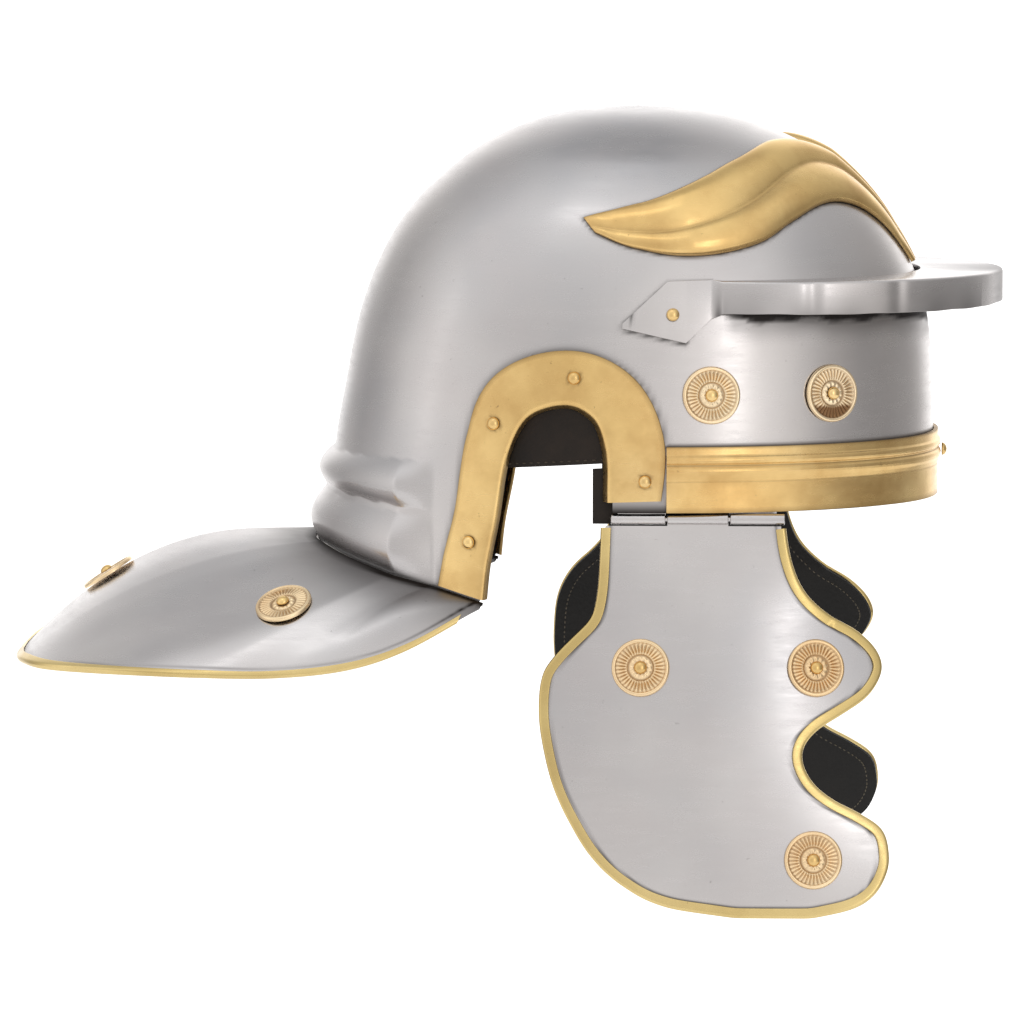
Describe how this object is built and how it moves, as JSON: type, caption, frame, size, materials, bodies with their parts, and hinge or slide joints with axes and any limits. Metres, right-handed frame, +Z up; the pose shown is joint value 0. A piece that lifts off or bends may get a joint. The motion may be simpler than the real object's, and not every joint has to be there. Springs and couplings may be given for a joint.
{
  "type": "helmet",
  "caption": "Ancient Roman legionary helmet: polished steel bowl with embossed nape, flared neck guard, brow guard, brass fittings, and hinged cheek guards lined with leather.",
  "frame": {"origin": "centre of the brow rim's plane, inside the bowl, where the head's fitting line passes", "axes": "+X to the wearer's front, +Y to the wearer's left, +Z up through the crown"},
  "size_m": [0.4033, 0.2388, 0.3161],
  "materials": {
    "steel": "polished sheet steel with soft satin streaks and grime along the joints",
    "brass": "polished sheet brass with light tarnish",
    "trim_brass": "folded edge trim, paler polished brass",
    "gilt": "cast fluted rosettes, orange gold with darkened recesses",
    "leather": "black leather, dull"
  },
  "bodies": {
    "helmet": {"skull_bowl": "steel", "neck_guard": "steel", "neck_trim": "trim_brass", "brow_band": "brass", "brow_guard": "steel", "headband_liner": "leather", "ear_guard_right": "brass", "eyebrow_right": "brass", "hinge_leaf_right": "steel", "hinge_pin_right": "steel", "lining_tab_right": "leather", "ear_rivet_right_1": "brass", "ear_rivet_right_2": "brass", "ear_rivet_right_3": "brass", "ear_rivet_right_4": "brass", "rosette_rear_right": "gilt", "rosette_rivet_rear_right": "brass", "rosette_front_right": "gilt", "rosette_rivet_front_right": "brass", "brow_guard_rivet_right": "brass", "ear_guard_left": "brass", "eyebrow_left": "brass", "hinge_leaf_left": "steel", "hinge_pin_left": "steel", "lining_tab_left": "leather", "ear_rivet_left_1": "brass", "ear_rivet_left_2": "brass", "ear_rivet_left_3": "brass", "ear_rivet_left_4": "brass", "rosette_rear_left": "gilt", "rosette_rivet_rear_left": "brass", "rosette_front_left": "gilt", "rosette_rivet_front_left": "brass", "brow_guard_rivet_left": "brass", "rosette_neck_right": "gilt", "rosette_rivet_neck_right": "brass", "rosette_neck_rear": "gilt", "rosette_rivet_neck_rear": "brass", "rosette_neck_left": "gilt", "rosette_rivet_neck_left": "brass", "brow_band_rivet": "brass"},
    "cheek_right": {"cheek_plate_right": "steel", "cheek_trim_right": "trim_brass", "cheek_lining_right": "leather", "rosette_cheek_right_1": "gilt", "rosette_rivet_cheek_right_1": "brass", "rosette_cheek_right_2": "gilt", "rosette_rivet_cheek_right_2": "brass", "rosette_cheek_right_3": "gilt", "rosette_rivet_cheek_right_3": "brass"},
    "cheek_left": {"cheek_plate_left": "steel", "cheek_trim_left": "trim_brass", "cheek_lining_left": "leather", "rosette_cheek_left_1": "gilt", "rosette_rivet_cheek_left_1": "brass", "rosette_cheek_left_2": "gilt", "rosette_rivet_cheek_left_2": "brass", "rosette_cheek_left_3": "gilt", "rosette_rivet_cheek_left_3": "brass"}
  },
  "joints": [
    {"name": "cheek_right_hinge", "type": "hinge", "parent": "helmet", "child": "cheek_right", "pos_m": [0.0285, -0.0895, -0.0025], "axis": [-1, 0, 0], "range_deg": [-25, 100]},
    {"name": "cheek_left_hinge", "type": "hinge", "parent": "helmet", "child": "cheek_left", "pos_m": [0.0285, 0.0895, -0.0025], "axis": [1, 0, 0], "range_deg": [-25, 100]}
  ]
}
